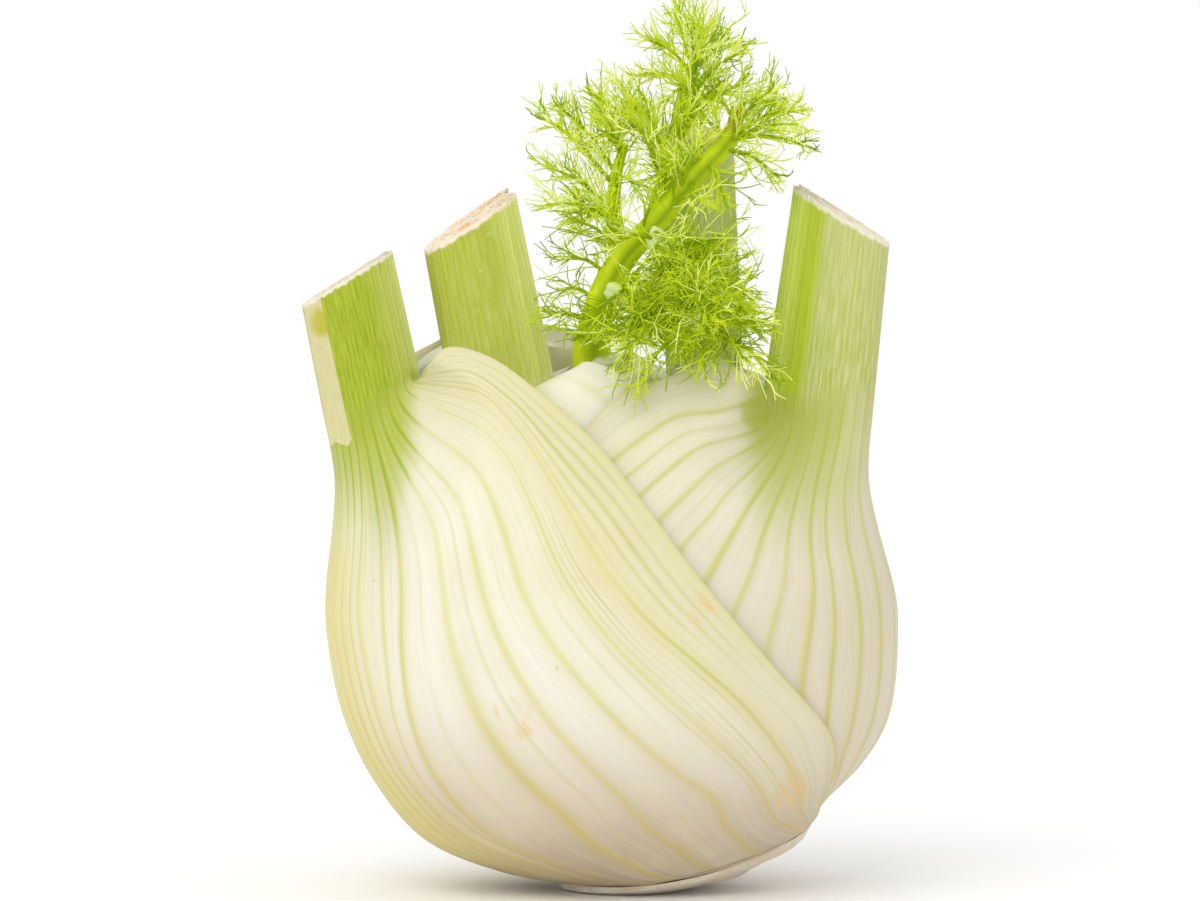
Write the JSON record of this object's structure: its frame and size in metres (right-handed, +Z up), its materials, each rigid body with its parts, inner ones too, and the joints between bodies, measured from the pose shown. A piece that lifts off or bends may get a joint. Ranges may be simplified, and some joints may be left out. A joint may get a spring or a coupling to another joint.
{
  "type": "fennel bulb",
  "caption": "Bulb of swollen, ribbed leaf bases wrapped over one another, with upright stalks cut off short, a feathery young frond and a small trimmed root end.",
  "frame": {"origin": "middle of the small flat spot on the underside of the root plate, on which the bulb stands", "axes": "+Z up along the stalks, -Y towards the front that the picture shows, +X to the right of that view"},
  "size_m": [0.1017, 0.0757, 0.1515],
  "materials": {
    "outer_sheath_left": "smooth waxy plant skin, cream with pale green veins, green at the stalk",
    "outer_sheath_right": "smooth waxy plant skin, white with pale green veins, pale green stalk",
    "inner_sheath_left": "smooth waxy plant skin, yellow-green stalk over a white base",
    "inner_sheath_right": "smooth waxy plant skin, cool pale green stalk over a white base",
    "heart_flesh": "smooth moist white flesh",
    "cut_root": "dry cut plant tissue",
    "green_frond": "soft bright green thread-like leaf"
  },
  "bodies": {
    "root": {"outer_leaf_left": "outer_sheath_left", "outer_leaf_right": "outer_sheath_right", "inner_leaf_left": "inner_sheath_left", "inner_leaf_right": "inner_sheath_right", "heart": "heart_flesh", "root_plate": "cut_root", "young_frond": "green_frond"}
  },
  "joints": []
}
